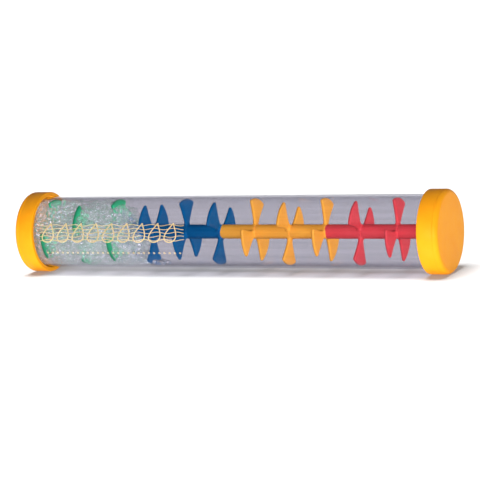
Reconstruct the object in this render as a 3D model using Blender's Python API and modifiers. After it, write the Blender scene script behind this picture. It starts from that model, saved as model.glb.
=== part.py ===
"""Clear-tube rainstick, in metres, +Z up.

A sealed clear tube lies along X with its middle at the origin. A push-on cap closes each
end and carries one end of a rod. Twelve baffles are threaded on the rod, each a hub with
three flat petals at its +X end, and a charge of loose beads lies at the -X end. The beads
between two neighbouring baffles are one closed solid, so that they clear the petals.
"""

import bpy
import bmesh
from math import asin, cos, pi, radians, sin
from mathutils import Matrix, Vector

MM = 0.001
GAP = 0.3 * MM                      # clearance between pieces that meet

# Tube
TUBE_RADIUS = 25.0 * MM
TUBE_WALL = 1.2 * MM
BORE_RADIUS = TUBE_RADIUS - TUBE_WALL

# Caps
OVERALL_LENGTH = 316.0 * MM
CAP_RADIUS = 28.3 * MM
CAP_LENGTH = 14.3 * MM
CAP_END_WALL = 2.7 * MM
CAP_EDGE_ROUND = 3.2 * MM
CAP_MOUTH_ROUND = 0.6 * MM
BOSS_RADIUS = 4.9 * MM
BOSS_HEIGHT = 3.4 * MM
SOCKET_INTO_WALL = 0.6 * MM         # how far the rod's socket reaches into the end wall

# Rod and baffles
ROD_RADIUS = 2.0 * MM
HUB_RADIUS = 4.9 * MM
HUB_BORE_RADIUS = ROD_RADIUS + GAP
BAFFLE_PITCH = 26.0 * MM
BAFFLE_COUNT = 12
LAST_PETAL_FACE = 147.4 * MM        # +X face of the last baffle's petals
PETAL_THICKNESS = 2.0 * MM
PETAL_TIP_RADIUS = 22.8 * MM
PETAL_HALF_ANGLE = radians(28.0)
PETAL_CORNER_ROUND = 2.0 * MM
PETAL_ROOT_HALF_WIDTH = 2.4 * MM
PETAL_ROOT_START = 3.3 * MM         # inside the hub's wall, so the petal grows out of it
PETAL_FLARE = 1.2                   # over 1 makes the petal's sides hollow near the root
PETALS_PER_BAFFLE = 3

# Each colour's baffles in order along +X, with the angle of each one's lone petal, the one
# that stands opposite the other two: 0 is straight up, and positive turns it towards -Y.
BAFFLE_SETS = (
    ("green", (-8.0, 172.0, 1.0)),
    ("blue", (172.0, -6.0, 163.0)),
    ("yellow", (-17.0, 164.0, -18.0)),
    ("red", (161.0, -16.0, 162.0)),
)

# Bead charge: the heap's surface over the tube's axis, as (distance along X, height)
HEAP_SURFACE = (
    (-180.0 * MM, 23.2 * MM),
    (-141.0 * MM, 23.1 * MM),
    (-100.0 * MM, 22.8 * MM),
    (-90.0 * MM, 22.2 * MM),
    (-84.0 * MM, 19.5 * MM),
    (-78.0 * MM, 14.0 * MM),
    (-74.0 * MM, 6.0 * MM),
    (-72.0 * MM, -2.0 * MM),
    (-68.0 * MM, -13.0 * MM),
    (-62.0 * MM, -18.0 * MM),
    (-54.0 * MM, -22.0 * MM),
    (-40.0 * MM, -30.0 * MM),
)
HEAP_TOE = -50.0 * MM
HEAP_SKEW = 0.35                    # the heap reaches this much further along X per unit of -Y
HEAP_CELLS = 5
SWEPT_CLEARANCE = 0.5 * MM          # between the beads and the discs that the petals sweep

# Faceting
ROUND_STEPS = 48
HUB_STEPS = 20
ROD_STEPS = 16
EDGE_ROUND_STEPS = 4
CORNER_STEPS = 3
TIP_STEPS = 6
SIDE_STEPS = 4
MERGE = 0.00001

HALF_LENGTH = OVERALL_LENGTH / 2
END_WALL_FACE = HALF_LENGTH - CAP_END_WALL
MOUTH = HALF_LENGTH - CAP_LENGTH
BOSS_FACE = END_WALL_FACE - BOSS_HEIGHT
SOCKET_FLOOR = END_WALL_FACE + SOCKET_INTO_WALL
TUBE_END = END_WALL_FACE - GAP
ROD_END = SOCKET_FLOOR - GAP
SKIRT_BORE_RADIUS = TUBE_RADIUS + GAP
STACK_END = BOSS_FACE - GAP

# Turned profiles are drawn on local X (radius) and Z (length), and local Z goes to +X
ALONG_X = Matrix.Rotation(pi / 2, 4, "Y")


def clear_scene():
    for existing in list(bpy.data.objects):
        bpy.data.objects.remove(existing, do_unlink=True)


def make_collection(name):
    collection = bpy.data.collections.new(name)
    bpy.context.scene.collection.children.link(collection)
    return collection


def make_material(name, colour, roughness, alpha=1.0):
    material = bpy.data.materials.new(name)
    material.use_nodes = True
    shader = material.node_tree.nodes["Principled BSDF"]
    shader.inputs["Base Color"].default_value = (*colour, 1.0)
    shader.inputs["Roughness"].default_value = roughness
    shader.inputs["Metallic"].default_value = 0.0
    shader.inputs["Alpha"].default_value = alpha
    return material


def add_object(name, mesh, collection, material=None):
    piece = bpy.data.objects.new(name, mesh)
    collection.objects.link(piece)
    if material is not None:
        mesh.materials.append(material)
    return piece


def arc(centre, radius, start, end, steps):
    """Points on a circular arc, both ends included."""
    points = []
    for step in range(steps + 1):
        angle = start + (end - start) * step / steps
        points.append((centre[0] + radius * cos(angle), centre[1] + radius * sin(angle)))
    return points


def turned(name, profile, closed, steps, collection, material=None, facing=1):
    """A solid of revolution about the X axis; facing -1 turns it end for end."""
    mesh = bpy.data.meshes.new(name)
    points = [(radius, 0.0, height) for radius, height in profile]
    edges = [(index, index + 1) for index in range(len(points) - 1)]
    if closed:
        edges.append((len(points) - 1, 0))
    mesh.from_pydata(points, edges, [])
    piece = add_object(name, mesh, collection, material)
    half_step = Matrix.Rotation(pi / steps, 4, "Z")
    end_for_end = Matrix.Rotation(0.0 if facing > 0 else pi, 4, "Z")
    piece.matrix_world = end_for_end @ ALONG_X @ half_step
    screw = piece.modifiers.new("turn", "SCREW")
    screw.angle = 2 * pi
    screw.steps = steps
    screw.render_steps = steps
    screw.use_merge_vertices = True
    screw.merge_threshold = MERGE
    screw.use_smooth_shade = True
    return piece


def boolean(piece, operation, operand):
    cut = piece.modifiers.new(operation.lower(), "BOOLEAN")
    cut.operation = operation
    cut.object = operand
    return cut


def evaluated_mesh(piece, name):
    """A new mesh of the object as its modifiers leave it, with its caps welded."""
    bpy.context.view_layer.update()
    depsgraph = bpy.context.evaluated_depsgraph_get()
    mesh = bpy.data.meshes.new_from_object(piece.evaluated_get(depsgraph))
    mesh.name = name
    cleaned = bmesh.new()
    cleaned.from_mesh(mesh)
    bmesh.ops.remove_doubles(cleaned, verts=cleaned.verts, dist=MERGE)
    cleaned.to_mesh(mesh)
    cleaned.free()
    return mesh


def flat_plate(name, outlines, thickness, collection):
    """Closed outlines in local XY, extruded to both sides of the plane, as one mesh object."""
    curve = bpy.data.curves.new(name, "CURVE")
    curve.dimensions = "2D"
    curve.fill_mode = "BOTH"
    curve.extrude = thickness / 2
    for outline in outlines:
        spline = curve.splines.new("POLY")
        spline.points.add(len(outline) - 1)
        for point, (across, along) in zip(spline.points, outline):
            point.co = (across, along, 0.0, 1.0)
        spline.use_cyclic_u = True
    drawn = bpy.data.objects.new(name + "_outline", curve)
    collection.objects.link(drawn)
    plate = bpy.data.objects.new(name, evaluated_mesh(drawn, name))
    collection.objects.link(plate)
    bpy.data.objects.remove(drawn, do_unlink=True)
    return plate


def make_tube(parts, material):
    profile = [
        (TUBE_RADIUS, TUBE_END),
        (TUBE_RADIUS, -TUBE_END),
        (BORE_RADIUS, -TUBE_END),
        (BORE_RADIUS, TUBE_END),
    ]
    return turned("tube", profile, True, ROUND_STEPS, parts, material)


def cap_profile():
    """Outer face, rounded edge, skirt, mouth, inner wall, boss and the rod's blind socket."""
    edge_centre = (CAP_RADIUS - CAP_EDGE_ROUND, HALF_LENGTH - CAP_EDGE_ROUND)
    mouth_centre = (CAP_RADIUS - CAP_MOUTH_ROUND, MOUTH + CAP_MOUTH_ROUND)
    profile = [(0.0, HALF_LENGTH)]
    profile += arc(edge_centre, CAP_EDGE_ROUND, pi / 2, 0.0, EDGE_ROUND_STEPS)
    profile += arc(mouth_centre, CAP_MOUTH_ROUND, 0.0, -pi / 2, 2)
    profile += [
        (SKIRT_BORE_RADIUS, MOUTH),
        (SKIRT_BORE_RADIUS, END_WALL_FACE),
        (BOSS_RADIUS, END_WALL_FACE),
        (BOSS_RADIUS, BOSS_FACE),
        (HUB_BORE_RADIUS, BOSS_FACE),
        (HUB_BORE_RADIUS, SOCKET_FLOOR),
        (0.0, SOCKET_FLOOR),
    ]
    return profile


def make_caps(parts, material):
    for name, facing in (("cap_left", -1), ("cap_right", 1)):
        turned(name, cap_profile(), False, ROUND_STEPS, parts, material, facing)


def make_rod(parts, material):
    profile = [
        (0.0, ROD_END),
        (ROD_RADIUS, ROD_END),
        (ROD_RADIUS, -ROD_END),
        (0.0, -ROD_END),
    ]
    return turned("spindle_rod", profile, False, ROD_STEPS, parts, material)


def petal_outline(direction):
    """One petal in local XY: hollow sides, rounded corners and a tip that follows the tube."""
    corner_radius = PETAL_TIP_RADIUS - PETAL_CORNER_ROUND
    corner_angle = PETAL_HALF_ANGLE - asin(PETAL_CORNER_ROUND / corner_radius)
    corner = (corner_radius * cos(corner_angle), corner_radius * sin(corner_angle))
    side_end = PETAL_HALF_ANGLE + pi / 2
    corner_points = arc(corner, PETAL_CORNER_ROUND, side_end, corner_angle, CORNER_STEPS)
    reach, width = corner_points[0]
    side = []
    for step in range(SIDE_STEPS):
        share = step / SIDE_STEPS
        along = PETAL_ROOT_START + (reach - PETAL_ROOT_START) * share
        across = PETAL_ROOT_HALF_WIDTH + (width - PETAL_ROOT_HALF_WIDTH) * share ** PETAL_FLARE
        side.append((along, across))
    half = side + corner_points
    tip = arc((0.0, 0.0), PETAL_TIP_RADIUS, corner_angle, -corner_angle, TIP_STEPS)
    outline = half + tip[1:-1] + [(along, -across) for along, across in reversed(half)]
    turn = Matrix.Rotation(direction, 2)
    return [tuple(turn @ Vector(point)) for point in outline]


def baffle_mesh(name, hub_before, hub_after, cutters):
    """A hub along local Z with three petals whose outer face is at Z = 0."""
    hub_profile = [
        (HUB_RADIUS, hub_after),
        (HUB_RADIUS, -hub_before),
        (HUB_BORE_RADIUS, -hub_before),
        (HUB_BORE_RADIUS, hub_after),
    ]
    hub = turned(name, hub_profile, True, HUB_STEPS, cutters)
    hub.matrix_world = Matrix.Identity(4)
    directions = [pi + 2 * pi * petal / PETALS_PER_BAFFLE for petal in range(PETALS_PER_BAFFLE)]
    outlines = [petal_outline(direction) for direction in directions]
    petals = flat_plate(name + "_petals", outlines, PETAL_THICKNESS, cutters)
    petals.location.z = -PETAL_THICKNESS / 2
    boolean(hub, "UNION", petals)
    mesh = evaluated_mesh(hub, name)
    bpy.data.objects.remove(hub, do_unlink=True)
    bpy.data.objects.remove(petals, do_unlink=True)
    return mesh


def petal_face(index):
    """Where the +X face of a baffle's petals lies along X."""
    return LAST_PETAL_FACE - (BAFFLE_COUNT - 1 - index) * BAFFLE_PITCH


def make_baffles(parts, cutters, materials):
    """The first hub starts at the left cap's boss and the last one ends at the right cap's."""
    index = 0
    for colour, angles in BAFFLE_SETS:
        for number, angle in enumerate(angles, start=1):
            face = petal_face(index)
            hub_before = min(BAFFLE_PITCH - GAP, face + STACK_END)
            hub_after = STACK_END - face if index == BAFFLE_COUNT - 1 else 0.0
            name = f"baffle_{colour}_{number}"
            mesh = baffle_mesh(name, hub_before, hub_after, cutters)
            baffle = add_object(name, mesh, parts, materials[colour])
            place = Matrix.Translation((face, 0.0, 0.0))
            baffle.matrix_world = place @ Matrix.Rotation(radians(angle), 4, "X") @ ALONG_X
            index += 1


def heap_top_cutter(cutters):
    """Everything above the heap's surface: an outline in XZ, extruded across the tube and skewed."""
    above = 2 * CAP_RADIUS
    outline = list(HEAP_SURFACE) + [(HEAP_SURFACE[-1][0], above), (HEAP_SURFACE[0][0], above)]
    block = flat_plate("heap_top_cutter", [outline], 2 * above, cutters)
    block.data.transform(Matrix.Shear("XY", 4, (HEAP_SKEW, 0.0)))
    block.matrix_world = Matrix.Rotation(pi / 2, 4, "X")
    block.hide_render = True
    block.display_type = "WIRE"
    return block


def make_bead_charge(parts, cutters, material):
    """One solid for the beads in each space between two baffles, around the hubs."""
    top = heap_top_cutter(cutters)
    outer = BORE_RADIUS - GAP
    inner = HUB_RADIUS + GAP
    for cell in range(HEAP_CELLS):
        start = -TUBE_END if cell == 0 else petal_face(cell - 1) + SWEPT_CLEARANCE
        end = min(petal_face(cell) - PETAL_THICKNESS - SWEPT_CLEARANCE, HEAP_TOE)
        profile = [(outer, end), (outer, start), (inner, start), (inner, end)]
        beads = turned(f"bead_charge_{cell + 1}", profile, True, ROUND_STEPS, parts, material)
        boolean(beads, "DIFFERENCE", top)


def main():
    clear_scene()
    parts = make_collection("rainstick")
    cutters = make_collection("cutters")
    clear = make_material("clear_tube", (0.85, 0.86, 0.92), 0.08, 0.3)
    cap = make_material("cap_plastic", (0.96, 0.55, 0.03), 0.35)
    rod = make_material("rod_plastic", (0.85, 0.83, 0.78), 0.45)
    bead = make_material("bead_plastic", (0.88, 0.92, 0.90), 0.08, 0.5)
    baffles = {
        "green": make_material("green_plastic", (0.02, 0.30, 0.14), 0.35),
        "blue": make_material("blue_plastic", (0.01, 0.09, 0.30), 0.35),
        "yellow": make_material("yellow_plastic", (0.95, 0.38, 0.04), 0.35),
        "red": make_material("red_plastic", (0.75, 0.04, 0.09), 0.35),
    }
    make_tube(parts, clear)
    make_caps(parts, cap)
    make_rod(parts, rod)
    make_baffles(parts, cutters, baffles)
    make_bead_charge(parts, cutters, bead)


main()
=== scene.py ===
"""Looks for the clear-tube rainstick: tube, caps, baffles, loose beads, print and studio."""

from math import cos, exp, pi, radians, sin, sqrt

import bmesh
import bpy
import numpy as np
from mathutils import Matrix, Vector


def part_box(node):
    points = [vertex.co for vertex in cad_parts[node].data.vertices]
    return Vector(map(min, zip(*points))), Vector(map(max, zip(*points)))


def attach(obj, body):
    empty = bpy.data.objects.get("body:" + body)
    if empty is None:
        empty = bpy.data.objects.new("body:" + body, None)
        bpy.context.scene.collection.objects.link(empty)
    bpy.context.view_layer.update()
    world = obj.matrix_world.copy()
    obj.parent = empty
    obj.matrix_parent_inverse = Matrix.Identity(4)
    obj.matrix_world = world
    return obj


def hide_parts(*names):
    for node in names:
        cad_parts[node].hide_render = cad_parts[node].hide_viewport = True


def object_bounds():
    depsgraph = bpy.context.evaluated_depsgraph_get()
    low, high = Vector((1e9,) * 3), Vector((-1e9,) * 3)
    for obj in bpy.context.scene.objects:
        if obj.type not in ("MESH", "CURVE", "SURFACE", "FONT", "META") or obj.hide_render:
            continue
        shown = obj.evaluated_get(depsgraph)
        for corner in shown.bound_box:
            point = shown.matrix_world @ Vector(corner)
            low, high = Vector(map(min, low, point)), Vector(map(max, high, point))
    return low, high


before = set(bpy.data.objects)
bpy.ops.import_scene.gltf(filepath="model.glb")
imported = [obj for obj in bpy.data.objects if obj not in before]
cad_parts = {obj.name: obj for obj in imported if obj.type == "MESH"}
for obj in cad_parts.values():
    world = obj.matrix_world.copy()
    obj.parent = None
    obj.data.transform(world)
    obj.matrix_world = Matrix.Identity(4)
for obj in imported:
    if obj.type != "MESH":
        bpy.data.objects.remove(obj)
CAD_LOW, CAD_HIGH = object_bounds()

MM = 0.001

# ---- sizes taken from the CAD frame; each end is the one on the +X side
CAP_LOW, CAP_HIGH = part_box("cap_right")
CAP_MOUTH = CAP_LOW.x
CAP_END = CAP_HIGH.x
TUBE_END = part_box("tube")[1].x
ROD_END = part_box("spindle_rod")[1].x

# ---- sizes shared with the CAD design
GAP = 0.3 * MM                      # clearance between pieces that meet
TUBE_RADIUS = 25.0 * MM
TUBE_WALL = 1.2 * MM
BORE_RADIUS = TUBE_RADIUS - TUBE_WALL
CAP_RADIUS = 28.3 * MM
CAP_END_WALL = 2.7 * MM
CAP_EDGE_ROUND = 3.2 * MM
BOSS_RADIUS = 4.9 * MM
BOSS_HEIGHT = 3.4 * MM
SOCKET_INTO_WALL = 0.6 * MM         # how far the rod's socket reaches into the end wall
ROD_RADIUS = 2.0 * MM
HUB_RADIUS = 4.9 * MM
HUB_BORE_RADIUS = ROD_RADIUS + GAP
BAFFLE_PITCH = 26.0 * MM
PETALS_PER_BAFFLE = 3
PETAL_THICKNESS = 2.0 * MM
PETAL_TIP_RADIUS = 22.8 * MM
PETAL_HALF_ANGLE = radians(28.0)
PETAL_CORNER_ROUND = 2.0 * MM
PETAL_ROOT_HALF_WIDTH = 2.3 * MM
PETAL_FLARE = 1.2                   # over 1 makes the petal's sides hollow near the root

# Each colour's baffles in order along +X, with the angle of each one's lone petal, the one
# that stands opposite the other two: 0 is straight up, and positive turns it towards -Y.
BAFFLES = (
    ("green", (-8.0, 172.0, 1.0)),
    ("blue", (172.0, -6.0, 163.0)),
    ("yellow", (-17.0, 164.0, -18.0)),
    ("red", (161.0, -16.0, 162.0)),
)

# The heap's surface over the tube's axis, as (distance along X, height)
HEAP_SURFACE = (
    (-180.0 * MM, 23.2 * MM),
    (-141.0 * MM, 23.1 * MM),
    (-100.0 * MM, 22.8 * MM),
    (-90.0 * MM, 22.2 * MM),
    (-84.0 * MM, 19.5 * MM),
    (-78.0 * MM, 14.0 * MM),
    (-74.0 * MM, 6.0 * MM),
    (-72.0 * MM, -2.0 * MM),
    (-68.0 * MM, -13.0 * MM),
    (-62.0 * MM, -18.0 * MM),
    (-54.0 * MM, -22.0 * MM),
    (-40.0 * MM, -30.0 * MM),
)
HEAP_TOE = -50.0 * MM
HEAP_SKEW = 0.35                    # the heap reaches this much further along X per unit of -Y

# The baffles whose petals close the heap's cells, in order along +X
HEAP_BAFFLES = ("baffle_green_1", "baffle_green_2", "baffle_green_3", "baffle_blue_1", "baffle_blue_2")


# ---- materials

NOISE_SPAN = (0.3, 0.7)             # nearly all noise values lie between these

# Each moulded plastic's two pigment colours, the main one first
CAP_COLOURS = ((0.93, 0.36, 0.010), (0.91, 0.33, 0.008))
ROD_COLOURS = ((0.80, 0.78, 0.72), (0.74, 0.71, 0.64))
BAFFLE_COLOURS = {
    "green": ((0.02, 0.36, 0.16), (0.015, 0.31, 0.13)),
    "blue": ((0.001, 0.115, 0.30), (0.001, 0.095, 0.26)),
    "yellow": ((0.95, 0.44, 0.055), (0.93, 0.41, 0.05)),
    "red": ((0.76, 0.072, 0.085), (0.71, 0.06, 0.075)),
}
# The tube's see-through tint, face on and edge on, is painted shade: it greys what is seen through the
# clear tube as if the backdrop behind it were in shade. Seen edge on it is darker still, where the wall is
# seen slantwise.
TUBE_SHADED_FACE_ON = (0.777, 0.770, 0.802)
TUBE_SHADED_EDGE_ON = (0.66, 0.66, 0.71)
REFLECTION_STREAK_LIGHT = 1.03                 # the tube's palest and darkest streaks, painted reflection lines, as shares of its tint
REFLECTION_STREAK_DARK = 0.95
BEAD_COLOURS = ((1.0, 1.0, 1.0), (0.95, 0.975, 0.96))
INK_COLOUR = (0.66, 0.48, 0.23)
INK_WORN = 1.12                     # how much paler the worn places are


def new_material(name):
    material = bpy.data.materials.new(name)
    material.use_nodes = True
    tree = material.node_tree
    return material, tree, tree.nodes["Principled BSDF"]


def noise(tree, scale, detail=2.0, roughness=0.5, stretch=1.0):
    """Noise in the object's own coordinates, drawn out along X by the stretch."""
    where = tree.nodes.new("ShaderNodeTexCoord")
    drawn = tree.nodes.new("ShaderNodeVectorMath")
    drawn.operation = "MULTIPLY"
    drawn.inputs[1].default_value = (1.0 / stretch, 1.0, 1.0)
    tree.links.new(where.outputs["Object"], drawn.inputs[0])
    texture = tree.nodes.new("ShaderNodeTexNoise")
    texture.inputs["Scale"].default_value = scale
    texture.inputs["Detail"].default_value = detail
    texture.inputs["Roughness"].default_value = roughness
    tree.links.new(drawn.outputs["Vector"], texture.inputs["Vector"])
    return texture.outputs["Fac"]


def remap(tree, value, low, high):
    """A noise value spread between two numbers."""
    node = tree.nodes.new("ShaderNodeMapRange")
    node.inputs["From Min"].default_value = NOISE_SPAN[0]
    node.inputs["From Max"].default_value = NOISE_SPAN[1]
    node.inputs["To Min"].default_value = low
    node.inputs["To Max"].default_value = high
    tree.links.new(value, node.inputs["Value"])
    return node.outputs["Result"]


def power(tree, value, exponent, scale, offset):
    """scale * value ** exponent + offset"""
    raised = tree.nodes.new("ShaderNodeMath")
    raised.operation = "POWER"
    raised.inputs[1].default_value = exponent
    tree.links.new(value, raised.inputs[0])
    placed = tree.nodes.new("ShaderNodeMath")
    placed.operation = "MULTIPLY_ADD"
    placed.inputs[1].default_value = scale
    placed.inputs[2].default_value = offset
    tree.links.new(raised.outputs["Value"], placed.inputs[0])
    return placed.outputs["Value"]


def blend_colours(tree, value, first, second):
    """The first colour where the value is 0, and the second where it is 1."""
    node = tree.nodes.new("ShaderNodeMix")
    node.data_type = "RGBA"
    node.inputs["A"].default_value = (*first, 1.0)
    node.inputs["B"].default_value = (*second, 1.0)
    tree.links.new(value, node.inputs["Factor"])
    return node.outputs["Result"]


def add_bump(tree, shader, value, strength, distance):
    bump = tree.nodes.new("ShaderNodeBump")
    bump.inputs["Strength"].default_value = strength
    bump.inputs["Distance"].default_value = distance
    tree.links.new(value, bump.inputs["Height"])
    tree.links.new(bump.outputs["Normal"], shader.inputs["Normal"])


def add_shader(tree, kind, colour):
    shader = tree.nodes.new(kind)
    shader.inputs["Color"].default_value = (*colour, 1.0)
    return shader


def mix_shaders(tree, factor, first, second):
    mix = tree.nodes.new("ShaderNodeMixShader")
    tree.links.new(factor, mix.inputs["Fac"])
    tree.links.new(first, mix.inputs[1])
    tree.links.new(second, mix.inputs[2])
    return mix.outputs["Shader"]


def lamps_shine_through(tree, surface, tint):
    """Shadow rays pass straight through, tinted, so that the lamps light what is inside."""
    path = tree.nodes.new("ShaderNodeLightPath")
    through = add_shader(tree, "ShaderNodeBsdfTransparent", tint)
    joined = mix_shaders(tree, path.outputs["Is Shadow Ray"], surface, through.outputs["BSDF"])
    tree.links.new(joined, tree.nodes["Material Output"].inputs["Surface"])


def moulded_plastic(name, colours, roughness, gloss_level=0.12):
    """Injection-moulded plastic: cloudy pigment, uneven gloss and a fine orange peel."""
    material, tree, shader = new_material(name)
    cloud = remap(tree, noise(tree, scale=90.0, detail=3.0), 0.0, 1.0)
    tree.links.new(blend_colours(tree, cloud, *colours), shader.inputs["Base Color"])
    gloss = remap(tree, noise(tree, scale=260.0, detail=4.0), roughness - 0.05, roughness + 0.07)
    tree.links.new(gloss, shader.inputs["Roughness"])
    add_bump(tree, shader, noise(tree, scale=1400.0), strength=0.12, distance=0.2 * MM)
    shader.inputs["Specular IOR Level"].default_value = gloss_level
    return material


def clear_wall(name, shaded_face_on, shaded_edge_on, roughness):
    """A thin extruded wall with a grey tint that is painted shade, darker seen edge on, and faint long
    streaks that are painted reflections; it mirrors more seen edge on.
    """
    material, tree, shader = new_material(name)
    tree.nodes.remove(shader)
    facing = tree.nodes.new("ShaderNodeLayerWeight")
    facing.inputs["Blend"].default_value = 0.5
    edge = facing.outputs["Facing"]
    # painted reflections: long streaks that make the tint a little lighter and darker along the tube
    streaks = remap(tree, noise(tree, scale=420.0, roughness=0.6, stretch=60.0), 0.0, 1.0)
    lighter = tuple(min(1.0, REFLECTION_STREAK_LIGHT * channel) for channel in shaded_face_on)
    darker = tuple(REFLECTION_STREAK_DARK * channel for channel in shaded_face_on)
    reflection_streaked = blend_colours(tree, streaks, lighter, darker)
    # the painted shade of the tint deepens towards the edges
    towards_edge = power(tree, edge, exponent=3.0, scale=1.0, offset=0.0)
    tint = blend_colours(tree, towards_edge, shaded_face_on, shaded_edge_on)
    tree.links.new(reflection_streaked, tint.node.inputs["A"])
    clear = add_shader(tree, "ShaderNodeBsdfTransparent", shaded_face_on)
    tree.links.new(tint, clear.inputs["Color"])
    gloss = add_shader(tree, "ShaderNodeBsdfAnisotropic", (1.0, 1.0, 1.0))
    gloss.inputs["Roughness"].default_value = roughness
    mirrored = power(tree, edge, exponent=5.0, scale=0.9, offset=0.002)
    surface = mix_shaders(tree, mirrored, clear.outputs["BSDF"], gloss.outputs["BSDF"])
    lamps_shine_through(tree, surface, shaded_face_on)
    return material


def clear_bead(name, colours, ior, clarity):
    """Slightly cloudy clear plastic that differs a little from bead to bead."""
    material, tree, shader = new_material(name)
    between = remap(tree, noise(tree, scale=330.0, detail=1.0), 0.0, 1.0)
    tree.links.new(blend_colours(tree, between, *colours), shader.inputs["Base Color"])
    shader.inputs["Roughness"].default_value = 0.0
    shader.inputs["IOR"].default_value = ior
    shader.inputs["Transmission Weight"].default_value = clarity
    lamps_shine_through(tree, shader.outputs["BSDF"], (1.0, 1.0, 1.0))
    return material


def ink(name, colour):
    """Opaque printing ink, paler where it is worn."""
    material, tree, shader = new_material(name)
    worn = remap(tree, noise(tree, scale=900.0, detail=3.0), 0.0, 1.0)
    paler = tuple(min(1.0, INK_WORN * channel) for channel in colour)
    tree.links.new(blend_colours(tree, worn, colour, paler), shader.inputs["Base Color"])
    shader.inputs["Roughness"].default_value = 0.5
    return material


def studio_paper(name):
    """Grey paper that the floor's own sun turns white; its glow keeps the shadow pale."""
    material, _, shader = new_material(name)
    shader.inputs["Base Color"].default_value = (0.32, 0.32, 0.32, 1.0)
    shader.inputs["Roughness"].default_value = 0.9
    shader.inputs["Emission Color"].default_value = (1.0, 1.0, 1.0, 1.0)
    shader.inputs["Emission Strength"].default_value = 0.16
    return material


# ---- mesh helpers

def arc(centre, radius, start, end, steps):
    points = []
    for step in range(steps + 1):
        angle = start + (end - start) * step / steps
        points.append((centre[0] + radius * cos(angle), centre[1] + radius * sin(angle)))
    return points


def both_ends(right):
    """A profile's +X end, followed by its mirror image at the -X end."""
    return right + [(radius, -along) for radius, along in reversed(right)]


def link(name, mesh, material=None):
    piece = bpy.data.objects.new(name, mesh)
    bpy.context.scene.collection.objects.link(piece)
    if material is not None:
        mesh.materials.append(material)
    return piece


def smooth(mesh, sharp_degrees=35.0):
    mesh.shade_smooth()
    mesh.set_sharp_from_angle(angle=radians(sharp_degrees))


def finished_mesh(made, name):
    """Turns a bmesh into a mesh and frees it."""
    mesh = bpy.data.meshes.new(name)
    made.to_mesh(mesh)
    made.free()
    return mesh


def looped(items, closed):
    """Pairs of neighbours, with the last and the first as one more pair on a closed loop."""
    following = items[1:] + ([items[0]] if closed else [])
    return list(zip(items, following))


def lathe(name, profile, closed, steps, facing=1):
    """Turns a profile of (radius, distance along X) about X; facing -1 mirrors it."""
    made = bmesh.new()
    rings = []
    for radius, along in profile:
        ring = []
        if radius == 0.0:
            ring = [made.verts.new((facing * along, 0.0, 0.0))] * steps
        else:
            for step in range(steps):
                angle = 2 * pi * step / steps
                ring.append(made.verts.new((facing * along, radius * sin(angle), radius * cos(angle))))
        rings.append(ring)
    for first, second in looped(rings, closed):
        for step in range(steps):
            after = (step + 1) % steps
            corners = [first[step], second[step], second[after], first[after]]
            made.faces.new(list(dict.fromkeys(corners)))
    bmesh.ops.recalc_face_normals(made, faces=made.faces)
    return finished_mesh(made, name)


def evaluated(piece, name):
    """The piece's mesh with its modifiers applied."""
    bpy.context.view_layer.update()
    depsgraph = bpy.context.evaluated_depsgraph_get()
    mesh = bpy.data.meshes.new_from_object(piece.evaluated_get(depsgraph))
    mesh.name = name
    return mesh


# ---- tube, caps and rod

TUBE_LIP = 0.25 * MM
TUBE_STEPS = 160
CAP_MOUTH_ROUND = 0.7 * MM
CAP_SKIRT_CHAMFER = 0.3 * MM
CAP_CREASE_WIDTH = 0.7 * MM         # the mould line round each cap, where the edge round starts
CAP_CREASE_DEPTH = 0.22 * MM
CAP_STEPS = 128
BOSS_FOOT = 0.8 * MM                # chamfer where the boss meets the end wall
ROD_END_ROUND = 0.4 * MM
ROD_STEPS = 32
LIP_STEPS = 3


def make_tube(material):
    outer = (TUBE_RADIUS - TUBE_LIP, TUBE_END - TUBE_LIP)
    inner = (BORE_RADIUS + TUBE_LIP, TUBE_END - TUBE_LIP)
    right = arc(inner, TUBE_LIP, pi, pi / 2, LIP_STEPS) + arc(outer, TUBE_LIP, pi / 2, 0.0, LIP_STEPS)
    mesh = lathe("tube_clear", both_ends(right), True, TUBE_STEPS)
    smooth(mesh)
    tube = link("tube_clear", mesh, material)
    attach(tube, "casing")
    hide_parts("tube")


def cap_profile():
    """From the end face's middle over the edge, round the mouth and down to the rod's socket."""
    inner_face = CAP_END - CAP_END_WALL
    skirt_bore = TUBE_RADIUS + GAP
    edge = (CAP_RADIUS - CAP_EDGE_ROUND, CAP_END - CAP_EDGE_ROUND)
    mouth = (CAP_RADIUS - CAP_MOUTH_ROUND, CAP_MOUTH + CAP_MOUTH_ROUND)
    boss_face = inner_face - BOSS_HEIGHT
    socket_end = inner_face + SOCKET_INTO_WALL
    crease = CAP_END - CAP_EDGE_ROUND - CAP_CREASE_WIDTH / 2
    profile = [(0.0, CAP_END), (CAP_RADIUS / 2, CAP_END)]
    profile += arc(edge, CAP_EDGE_ROUND, pi / 2, 0.0, steps=10)
    profile += [(CAP_RADIUS - CAP_CREASE_DEPTH, crease), (CAP_RADIUS, crease - CAP_CREASE_WIDTH / 2)]
    profile += arc(mouth, CAP_MOUTH_ROUND, 0.0, -pi / 2, steps=5)
    profile += [
        (skirt_bore + CAP_SKIRT_CHAMFER, CAP_MOUTH),
        (skirt_bore, CAP_MOUTH + CAP_SKIRT_CHAMFER),
        (skirt_bore, inner_face),
        (BOSS_RADIUS + BOSS_FOOT, inner_face),
        (BOSS_RADIUS, inner_face - BOSS_FOOT),
        (BOSS_RADIUS, boss_face),
        (HUB_BORE_RADIUS, boss_face),
        (HUB_BORE_RADIUS, socket_end),
        (0.0, socket_end),
    ]
    return profile


def make_caps(material):
    caps = []
    for side, facing in (("left", -1), ("right", 1)):
        mesh = lathe(f"end_cap_{side}", cap_profile(), False, CAP_STEPS, facing)
        smooth(mesh)
        cap = link(f"end_cap_{side}", mesh, material)
        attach(cap, "casing")
        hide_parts(f"cap_{side}")
        caps.append(cap)
    return caps


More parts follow.
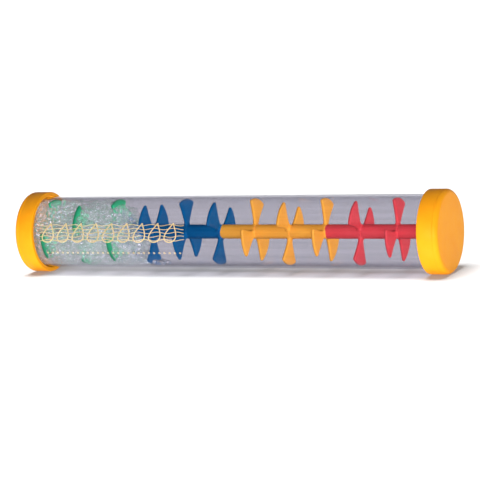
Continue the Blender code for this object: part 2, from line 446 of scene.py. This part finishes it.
def make_rod(material):
    centre = (ROD_RADIUS - ROD_END_ROUND, ROD_END - ROD_END_ROUND)
    right = [(0.0, ROD_END)] + arc(centre, ROD_END_ROUND, pi / 2, 0.0, LIP_STEPS)
    mesh = lathe("rod", both_ends(right), False, ROD_STEPS)
    smooth(mesh)
    rod = link("rod", mesh, material)
    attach(rod, "spindle")
    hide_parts("spindle_rod")


# ---- baffles

LAST_BAFFLE = "baffle_red_3"        # its hub runs on past its petals, to the right cap's boss
BAFFLE_BEFORE_LAST = "baffle_red_2"
HUB_LIP = 0.25 * MM
HUB_STEPS = 64
FILLET_WIDTH = 1.1 * MM             # how much wider each side of a petal is at the hub
FILLET_REACH = 0.9 * MM             # distance in which that falls to a third
SWELL = 0.9                         # how much thicker a petal is at the hub, as a share
SWELL_REACH = 0.7 * MM
FILLET_LINES = 7
FILLET_LINE_PITCH = 0.35 * MM
BLADE_START = HUB_RADIUS + 2.6 * MM
BLADE_STEPS = 9
TIP_STEPS = 8
ROOT_DEPTHS = (1.6 * MM, 0.4 * MM)  # lines inside the hub's wall, so the petal grows out of it
EDGE_MARGINS = (0.0, 0.05 * MM, 0.2 * MM, 0.5 * MM, 1.0 * MM)
EVEN_STEPS = 3                      # from each band of edge lines to the petal's middle line
WELD_DISTANCE = 0.002 * MM


def petal_half_width(radius):
    """Half the petal's width, measured along the arc at this distance from the axis."""
    share = max(0.0, (radius - HUB_RADIUS) / (PETAL_TIP_RADIUS - HUB_RADIUS))
    tip_width = PETAL_TIP_RADIUS * PETAL_HALF_ANGLE
    width = PETAL_ROOT_HALF_WIDTH + (tip_width - PETAL_ROOT_HALF_WIDTH) * share ** PETAL_FLARE
    into_corner = radius - (PETAL_TIP_RADIUS - PETAL_CORNER_ROUND)
    if into_corner > 0.0:
        rise = min(1.0, into_corner / PETAL_CORNER_ROUND)
        width -= PETAL_CORNER_ROUND * (1.0 - sqrt(max(0.0, 1.0 - rise * rise)))
    return width + FILLET_WIDTH * exp(-max(0.0, radius - HUB_RADIUS) / FILLET_REACH)


def rounded(distance):
    """Share of the full thickness this far in from an edge, on a quarter circle."""
    inside = min(1.0, distance / (PETAL_THICKNESS / 2))
    return sqrt(1.0 - (1.0 - inside) ** 2)


def petal_stations():
    """Distances from the axis, close together at the root fillet and at the rounded tip."""
    root = [HUB_RADIUS - depth for depth in ROOT_DEPTHS]
    fillet = [HUB_RADIUS + step * FILLET_LINE_PITCH for step in range(FILLET_LINES)]
    bend = PETAL_TIP_RADIUS - PETAL_CORNER_ROUND
    blade = [BLADE_START + (bend - BLADE_START) * step / BLADE_STEPS for step in range(BLADE_STEPS + 1)]
    turns = [pi / 2 * step / TIP_STEPS for step in range(1, TIP_STEPS + 1)]
    tip = [PETAL_TIP_RADIUS - PETAL_CORNER_ROUND * (1 - sin(turn)) for turn in turns]
    return root + fillet + blade + tip


def across_lines(half_width):
    """Places across the petal: close together at both edges, with five even ones between."""
    edge = [half_width - margin for margin in EDGE_MARGINS]
    middle = [edge[-1] * (1 - step / EVEN_STEPS) for step in range(1, EVEN_STEPS)]
    half = edge + middle
    return half + [0.0] + [-value for value in reversed(half)]


def petal_skins(made, direction):
    """The petal's +X and -X skins, each a grid of corners from the root to the tip."""
    skins = ([], [])
    for radius in petal_stations():
        half_width = petal_half_width(radius)
        swell = 1.0 + SWELL * exp(-max(0.0, radius - HUB_RADIUS) / SWELL_REACH)
        tip_share = rounded(PETAL_TIP_RADIUS - radius)
        rows = ([], [])
        for across in across_lines(half_width):
            angle = direction + across / radius
            share = min(rounded(half_width - abs(across)), tip_share)
            lift = PETAL_THICKNESS / 2 * share * swell
            spot = (-radius * sin(angle), radius * cos(angle))
            for side, row in zip((1.0, -1.0), rows):
                row.append(made.verts.new((side * lift - PETAL_THICKNESS / 2, *spot)))
        for skin, row in zip(skins, rows):
            skin.append(row)
    return skins


def add_petal(made, direction):
    """One flat petal with a rounded rim, as two skins that meet at the rim."""
    skins = petal_skins(made, direction)
    for skin in skins:
        for first, second in looped(skin, False):
            for index in range(len(first) - 1):
                made.faces.new((first[index], first[index + 1], second[index + 1], second[index]))
    top, bottom = skins[0][0], skins[1][0]
    for index in range(len(top) - 1):
        made.faces.new((top[index], top[index + 1], bottom[index + 1], bottom[index]))


def petals_mesh():
    made = bmesh.new()
    for petal in range(PETALS_PER_BAFFLE):
        add_petal(made, 2 * pi * petal / PETALS_PER_BAFFLE)
    bmesh.ops.remove_doubles(made, verts=made.verts, dist=WELD_DISTANCE)
    bmesh.ops.recalc_face_normals(made, faces=made.faces)
    return finished_mesh(made, "petals")


def hub_mesh(before, after):
    """A hub that reaches this far before and after its petals' +X face."""
    profile = [
        (HUB_RADIUS - HUB_LIP, after),
        (HUB_RADIUS, after - HUB_LIP),
        (HUB_RADIUS, -before + HUB_LIP),
        (HUB_RADIUS - HUB_LIP, -before),
        (HUB_BORE_RADIUS, -before),
        (HUB_BORE_RADIUS, after),
    ]
    return lathe("hub", profile, True, HUB_STEPS)


def baffle_mesh(name, before, after):
    hub = link("hub", hub_mesh(before, after))
    petals = link("petals", petals_mesh())
    join = hub.modifiers.new("join", "BOOLEAN")
    join.operation = "UNION"
    join.object = petals
    mesh = evaluated(hub, name)
    bpy.data.objects.remove(hub, do_unlink=True)
    bpy.data.objects.remove(petals, do_unlink=True)
    smooth(mesh, sharp_degrees=40.0)
    return mesh


def petal_face(node):
    """Where the +X face of a baffle's petals lies along X."""
    if node == LAST_BAFFLE:
        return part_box(BAFFLE_BEFORE_LAST)[1].x + BAFFLE_PITCH
    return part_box(node)[1].x


def make_baffles(materials):
    """Baffles whose hubs are alike share one shape, each turned to its own angle."""
    shapes = {}
    baffles = []
    for colour, angles in BAFFLES:
        for number, angle in enumerate(angles, start=1):
            node = f"baffle_{colour}_{number}"
            low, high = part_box(node)
            face = petal_face(node)
            extent = (round(face - low.x, 5), round(high.x - face, 5))
            if extent not in shapes:
                shapes[extent] = baffle_mesh(f"baffle_shape_{len(shapes)}", *extent)
            mesh = shapes[extent].copy()
            mesh.transform(Matrix.Translation((face, 0.0, 0.0)) @ Matrix.Rotation(radians(angle), 4, "X"))
            baffle = link(f"{colour}_baffle_{number}", mesh, materials[colour])
            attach(baffle, "spindle")
            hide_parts(node)
            baffles.append(baffle)
    return baffles


# ---- beads

BEAD_RADIUS = 1.95 * MM
BEAD_SPREAD = 0.06                  # sizes differ by up to this share of the radius
BEAD_FILL = 0.56                    # share of the heap if all beads had the full radius; about 0.51 as made
BEAD_SEED = 11
BEAD_SEGMENTS = 12
BEAD_RINGS = 8
SWEPT_CLEARANCE = 0.35 * MM         # from the beads to the petals' flat faces; less at the root fillets
VOLUME_SAMPLES = 20000
SETTLE_STEPS = 90
SETTLE_PUSH = 0.35                  # share of each overlap that one step pushes apart
SETTLE_DROP = 0.02 * MM             # how far one step lets the beads sink


def heap_top(points):
    """Height of the heap's surface above each point."""
    places = [place for place, _ in HEAP_SURFACE]
    heights = [height for _, height in HEAP_SURFACE]
    return np.interp(points[:, 0] + HEAP_SKEW * points[:, 1], places, heights)


def keep_in_cell(points, start, end):
    """Moves beads back into their cell: between the petals, in the tube, off the hub, in the heap."""
    points[:, 0] = np.clip(points[:, 0], start + BEAD_RADIUS, end - BEAD_RADIUS)
    ceiling = heap_top(points) - BEAD_RADIUS
    points[:, 2] = np.minimum(points[:, 2], ceiling)
    reach = np.hypot(points[:, 1], points[:, 2])
    wanted = np.clip(reach, HUB_RADIUS + BEAD_RADIUS, BORE_RADIUS - BEAD_RADIUS)
    scale = wanted / np.maximum(reach, 1e-9)
    points[:, 1] *= scale
    points[:, 2] *= scale


def heap_samples(start, end, rng):
    """Random points inside one cell of the heap, and the volume of the heap there."""
    low = (start, -BORE_RADIUS, -BORE_RADIUS)
    high = (end, BORE_RADIUS, BORE_RADIUS)
    box = rng.uniform(low, high, (VOLUME_SAMPLES, 3))
    reach = np.hypot(box[:, 1], box[:, 2])
    inside = (reach < BORE_RADIUS) & (reach > HUB_RADIUS) & (box[:, 2] < heap_top(box))
    return box[inside], inside.mean() * (end - start) * (2 * BORE_RADIUS) ** 2


def settled_beads(start, end, rng):
    """Bead centres in one cell, pushed apart a fixed number of times.

    Many neighbours still overlap afterwards, most by less than 0.1 mm and the worst by 0.6 mm.
    """
    samples, volume = heap_samples(start, end, rng)
    count = int(BEAD_FILL * volume / (4 / 3 * pi * BEAD_RADIUS ** 3))
    points = samples[rng.choice(len(samples), count, replace=False)].astype(np.float32)
    for _ in range(SETTLE_STEPS):
        apart = points[:, None, :] - points[None, :, :]
        distance = np.sqrt((apart * apart).sum(axis=2))
        np.fill_diagonal(distance, 1.0)
        push = np.clip(2 * BEAD_RADIUS - distance, 0.0, None) / np.maximum(distance, 1e-6)
        points += SETTLE_PUSH * (apart * push[:, :, None]).sum(axis=1)
        points[:, 2] -= SETTLE_DROP
        keep_in_cell(points, start, end)
    return points


def ball(segments, rings):
    """Corners and triangles of a unit sphere."""
    corners = [(0.0, 0.0, 1.0)]
    for ring in range(1, rings):
        polar = pi * ring / rings
        for segment in range(segments):
            turn = 2 * pi * segment / segments
            corners.append((sin(polar) * cos(turn), sin(polar) * sin(turn), cos(polar)))
    corners.append((0.0, 0.0, -1.0))
    last = len(corners) - 1
    triangles = []
    for segment in range(segments):
        after = (segment + 1) % segments
        triangles.append((0, 1 + segment, 1 + after))
        for ring in range(rings - 2):
            upper = 1 + ring * segments
            lower = upper + segments
            triangles.append((upper + segment, lower + segment, lower + after))
            triangles.append((upper + segment, lower + after, upper + after))
        bottom = 1 + (rings - 2) * segments
        triangles.append((bottom + segment, last, bottom + after))
    return np.array(corners), np.array(triangles)


def bead_mesh(name, centres, rng):
    """One mesh of many small balls, each with its own size."""
    corners, triangles = ball(BEAD_SEGMENTS, BEAD_RINGS)
    count = len(centres)
    sizes = BEAD_RADIUS * (1.0 - BEAD_SPREAD * rng.random(count))
    every = (corners[None, :, :] * sizes[:, None, None] + centres[:, None, :]).reshape(-1, 3)
    faces = (triangles[None, :, :] + (np.arange(count) * len(corners))[:, None, None]).reshape(-1)
    total = len(faces) // 3
    mesh = bpy.data.meshes.new(name)
    mesh.vertices.add(len(every))
    mesh.vertices.foreach_set("co", every.astype(np.float32).ravel())
    mesh.loops.add(len(faces))
    mesh.loops.foreach_set("vertex_index", faces.astype(np.int32))
    mesh.polygons.add(total)
    mesh.polygons.foreach_set("loop_start", np.arange(0, 3 * total, 3, dtype=np.int32))
    mesh.update(calc_edges=True)
    mesh.validate()
    mesh.shade_smooth()
    return mesh


def make_beads(material):
    """One piece for each cell, from the tube's end or a baffle's petals to the next petals or the toe."""
    rng = np.random.default_rng(BEAD_SEED)
    pieces = []
    faces = [petal_face(node) for node in HEAP_BAFFLES]
    starts = [-TUBE_END] + faces[:-1]
    for cell, (start, face) in enumerate(zip(starts, faces), start=1):
        end = min(face - PETAL_THICKNESS, HEAP_TOE) - SWEPT_CLEARANCE
        centres = settled_beads(start + SWEPT_CLEARANCE, end, rng)
        beads = link(f"beads_{cell}", bead_mesh(f"beads_{cell}", centres, rng), material)
        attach(beads, "beads")
        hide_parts(f"bead_charge_{cell}")
        pieces.append(beads)
    return pieces


# ---- print: rippled lines, slanting drops and a row of dots, as a film on the tube

PRINT_START = -139.0 * MM
PRINT_END = -26.0 * MM
PRINT_ANGLE = radians(82.0)         # its middle line, measured from straight up towards -Y
PRINT_BASE = 0.01 * MM              # the film's two faces, measured from the tube's surface
PRINT_TOP = 0.05 * MM
RIPPLES = 5
RIPPLE_WIDTH = 0.38 * MM
RIPPLE_SPACING = 2.6 * MM
RIPPLE_HEIGHT = 0.5 * MM
RIPPLE_LENGTH = 2.4 * MM            # along the tube for each radian of the wave
RIPPLE_STEPS = 160
DROP_WIDTH = 0.75 * MM
DROP_HALF_HEIGHT = 6.6 * MM
DROP_HALF_WIDTH = 5.0 * MM
DROP_FULLNESS = 1.25
DROP_TAPER = 1.5                    # over 1 makes the drop's top more pointed
DROP_PITCH = 12.0 * MM
DROP_OFFSET = 0.6                   # the first drop's place, as a share of the pitch
DROP_SLANT = 0.28
DROP_STEPS = 48
DOTS_PER_DROP = 3
DOT_RADIUS = 0.55 * MM
DOT_WIDTH = 0.4 * MM
DOT_LINE = -15.0 * MM
DOT_STEPS = 10


def on_tube(along, rise, lift):
    """A point on the tube's surface, from its place on the unrolled print."""
    angle = PRINT_ANGLE - rise / TUBE_RADIUS
    radius = TUBE_RADIUS + lift
    return (along, -radius * sin(angle), radius * cos(angle))


def add_stroke(made, path, width, closed=False):
    """A flat ribbon of ink along a path of (along, rise) points on the unrolled print."""
    sections = []
    count = len(path)
    for index, (along, rise) in enumerate(path):
        before = path[index - 1] if index or closed else path[index]
        after = path[(index + 1) % count] if index + 1 < count or closed else path[index]
        run = Vector((after[0] - before[0], after[1] - before[1])).normalized()
        across = Vector((-run.y, run.x)) * width / 2
        ring = []
        for side, lift in ((1, PRINT_BASE), (1, PRINT_TOP), (-1, PRINT_TOP), (-1, PRINT_BASE)):
            ring.append(made.verts.new(on_tube(along + side * across.x, rise + side * across.y, lift)))
        sections.append(ring)
    for first, second in looped(sections, closed):
        for corner in range(4):
            following = (corner + 1) % 4
            made.faces.new((first[corner], first[following], second[following], second[corner]))
    if not closed:
        made.faces.new(list(reversed(sections[0])))
        made.faces.new(sections[-1])


def ripple_path(ripple):
    """One wavy line along the whole print; each one's wave starts a radian further on."""
    level = (ripple - (RIPPLES - 1) / 2) * RIPPLE_SPACING
    path = []
    for step in range(RIPPLE_STEPS + 1):
        along = PRINT_START + (PRINT_END - PRINT_START) * step / RIPPLE_STEPS
        path.append((along, level + RIPPLE_HEIGHT * sin(along / RIPPLE_LENGTH + ripple)))
    return path


def drop_path(centre):
    """The outline of a slanting raindrop."""
    path = []
    for step in range(DROP_STEPS):
        turn = 2 * pi * (step + 0.5) / DROP_STEPS
        fullness = DROP_FULLNESS * abs(sin(turn / 2)) ** DROP_TAPER
        across = DROP_HALF_WIDTH * fullness * sin(turn)
        rise = DROP_HALF_HEIGHT * cos(turn)
        path.append((centre + across + DROP_SLANT * rise, rise))
    return path


def dot_path(centre):
    """A ring so small that its stroke fills it."""
    turns = [2 * pi * step / DOT_STEPS for step in range(DOT_STEPS)]
    return [(centre + DOT_RADIUS * cos(turn), DOT_LINE + DOT_RADIUS * sin(turn)) for turn in turns]


def make_print(material):
    made = bmesh.new()
    for ripple in range(RIPPLES):
        add_stroke(made, ripple_path(ripple), RIPPLE_WIDTH)
    drops = int((PRINT_END - PRINT_START) / DROP_PITCH)
    for drop in range(drops):
        centre = PRINT_START + (drop + DROP_OFFSET) * DROP_PITCH
        add_stroke(made, drop_path(centre), DROP_WIDTH, True)
    for dot in range(1, DOTS_PER_DROP * drops + 1):
        centre = PRINT_START + dot * DROP_PITCH / DOTS_PER_DROP
        add_stroke(made, dot_path(centre), DOT_WIDTH, True)
    bmesh.ops.recalc_face_normals(made, faces=made.faces)
    decoration = link("tube_print", finished_mesh(made, "tube_print"), material)
    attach(decoration, "casing")


# ---- studio

CAMERA_ELEVATION = radians(10.0)
CAMERA_YAW = radians(25.09)
CAMERA_DISTANCE = 1.5368
CAMERA_LENS = 168.1                 # in millimetres, on a sensor as wide as the next line says
CAMERA_SENSOR = 36.0
CAMERA_CLIP = (0.05, 50.0)
AIM = Vector((0.0048, 0.0, 0.0))
AIM_BELOW = 0.0058                  # the camera looks this far below the point that it turns round
FLOOR_HALF = 6.0
FLOOR_BEND = 1.0                    # radius of the curve from the floor into the wall
FLOOR_BEND_STEPS = 12
WALL_HEIGHT = 2.0
LAMP_DISTANCE = 1.6
LAMP_HEIGHT = 0.5
SUN_WIDTH = radians(34.0)
WORLD_COLOUR = (0.97, 0.97, 1.0, 1.0)
WORLD_STRENGTH = 0.3
BOUNCES = 24
CLEAR_BOUNCES = 32                  # through the tube's walls, one behind the other


def make_camera():
    data = bpy.data.cameras.new("camera")
    data.lens = CAMERA_LENS
    data.sensor_width = CAMERA_SENSOR
    data.clip_start, data.clip_end = CAMERA_CLIP
    camera = bpy.data.objects.new("camera", data)
    bpy.context.scene.collection.objects.link(camera)
    tilt = Matrix.Rotation(-CAMERA_ELEVATION, 3, "X")
    forward = tilt @ Vector((-sin(CAMERA_YAW), cos(CAMERA_YAW), 0.0))
    up = tilt @ Vector((0.0, 0.0, 1.0))
    place = AIM - forward * CAMERA_DISTANCE
    look = (AIM - up * AIM_BELOW - place).normalized()
    side = look.cross(up).normalized()
    over = side.cross(look)
    basis = Matrix((side, over, -look)).transposed()
    camera.matrix_world = Matrix.Translation(place) @ basis.to_4x4()
    bpy.context.scene.camera = camera


def floor_profile():
    """(Y, Z) points: a flat floor at the object's lowest point, a bend and a low wall."""
    low = CAD_LOW.z
    profile = [(-FLOOR_HALF, low)]
    for step in range(FLOOR_BEND_STEPS + 1):
        angle = pi / 2 * step / FLOOR_BEND_STEPS
        back = FLOOR_HALF - FLOOR_BEND + FLOOR_BEND * sin(angle)
        profile.append((back, low + FLOOR_BEND - FLOOR_BEND * cos(angle)))
    profile.append((FLOOR_HALF, low + WALL_HEIGHT))
    return profile


def make_floor(material):
    """A sweep of paper: a floor that curves up into a wall far behind."""
    made = bmesh.new()
    rows = []
    for along in (-FLOOR_HALF, FLOOR_HALF):
        rows.append([made.verts.new((along, place, height)) for place, height in floor_profile()])
    for index in range(len(rows[0]) - 1):
        made.faces.new((rows[0][index], rows[1][index], rows[1][index + 1], rows[0][index + 1]))
    mesh = finished_mesh(made, "studio_floor")
    mesh.shade_smooth()
    floor = link("studio_floor", mesh, material)
    return floor


def direction(azimuth, elevation):
    """Towards a lamp; azimuth 0 is on the -Y side, and 90 on the +X side."""
    turn, rise = radians(azimuth), radians(elevation)
    return Vector((sin(turn) * cos(rise), -cos(turn) * cos(rise), sin(rise)))


def add_lamp(data, towards):
    """A lamp that shines at the object from this direction."""
    lamp = bpy.data.objects.new(data.name, data)
    bpy.context.scene.collection.objects.link(lamp)
    lamp.rotation_euler = (-towards).to_track_quat("-Z", "Y").to_euler()
    return lamp


def light_only(lamp, pieces):
    lit = bpy.data.collections.new("lit_by_" + lamp.name)
    for piece in pieces:
        lit.objects.link(piece)
    lamp.light_linking.receiver_collection = lit


def floor_sun(floor, azimuth, elevation, strength):
    """A wide sun that lights the floor alone; the object still casts its shadow there."""
    data = bpy.data.lights.new("floor_sun", "SUN")
    data.energy = strength
    data.angle = SUN_WIDTH
    light_only(add_lamp(data, direction(azimuth, elevation)), [floor])


def area_light(name, azimuth, elevation, width, watts):
    """A soft panel aimed at the object."""
    data = bpy.data.lights.new(name, "AREA")
    data.shape = "RECTANGLE"
    data.size = width
    data.size_y = LAMP_HEIGHT
    data.energy = watts
    towards = direction(azimuth, elevation)
    lamp = add_lamp(data, towards)
    lamp.location = towards * LAMP_DISTANCE
    return lamp


def fill_light(name, azimuth, elevation, width, watts, pieces):
    """A lamp that lights these pieces alone and casts no shadow."""
    fill = area_light(name, azimuth, elevation, width, watts)
    fill.data.use_shadow = False
    light_only(fill, pieces)


def make_world():
    world = bpy.data.worlds.new("studio")
    world.use_nodes = True
    background = world.node_tree.nodes["Background"]
    background.inputs["Color"].default_value = WORLD_COLOUR
    background.inputs["Strength"].default_value = WORLD_STRENGTH
    bpy.context.scene.world = world


def make_studio():
    make_camera()
    floor = make_floor(studio_paper("studio_floor"))
    floor_sun(floor, azimuth=-30.0, elevation=78.0, strength=8.9)
    make_world()
    area_light("key", azimuth=20.0, elevation=1.0, width=1.0, watts=33.0)
    scene = bpy.context.scene
    scene.view_settings.view_transform = "Standard"
    scene.cycles.max_bounces = BOUNCES
    scene.cycles.transmission_bounces = BOUNCES
    scene.cycles.transparent_max_bounces = CLEAR_BOUNCES


def main():
    make_studio()
    make_tube(clear_wall("tube_acrylic", TUBE_SHADED_FACE_ON, TUBE_SHADED_EDGE_ON, roughness=0.04))
    caps = make_caps(moulded_plastic("cap_moulded", CAP_COLOURS, roughness=0.40, gloss_level=0.05))
    fill_light("cap_fill", azimuth=5.0, elevation=-45.0, width=1.0, watts=10.0, pieces=caps)
    fill_light("cap_edge", azimuth=62.0, elevation=5.0, width=0.15, watts=1.2, pieces=caps)
    make_rod(moulded_plastic("rod_moulded", ROD_COLOURS, roughness=0.45))
    plastics = {}
    for colour, colours in BAFFLE_COLOURS.items():
        plastics[colour] = moulded_plastic(f"{colour}_moulded", colours, roughness=0.42)
    baffles = make_baffles(plastics)
    fill_light("baffle_fill", azimuth=60.0, elevation=8.0, width=1.0, watts=32.0, pieces=baffles)
    beads = make_beads(clear_bead("bead_clear", BEAD_COLOURS, ior=1.49, clarity=0.96))
    fill_light("bead_fill", azimuth=20.0, elevation=-35.0, width=0.3, watts=19.0, pieces=beads)
    make_print(ink("print_ink", INK_COLOUR))


main()
